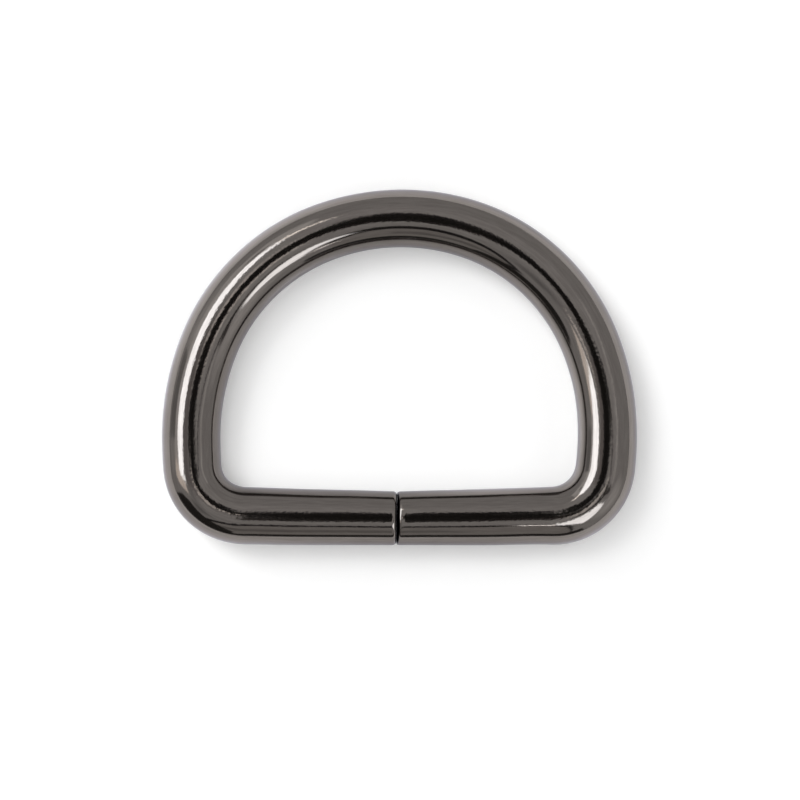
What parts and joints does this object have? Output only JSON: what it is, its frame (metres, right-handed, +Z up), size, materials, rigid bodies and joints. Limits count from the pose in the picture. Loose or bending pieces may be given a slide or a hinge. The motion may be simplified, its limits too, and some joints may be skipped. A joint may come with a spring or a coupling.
{
  "type": "d ring",
  "caption": "D-shaped ring bent from round wire with a straight strap bar, rounded arch and butt joint, for fastening a strap or clip.",
  "frame": {"origin": "bottom centre of the ring's box as it lies flat, on the plane of its lowest points", "axes": "+X along the strap bar, +Y from the bar to the top of the arch, +Z up out of the ring's plane"},
  "size_m": [0.0332, 0.025, 0.0041],
  "materials": {
    "plating": "polished"
  },
  "bodies": {
    "root": {"ring": "plating"}
  },
  "joints": []
}
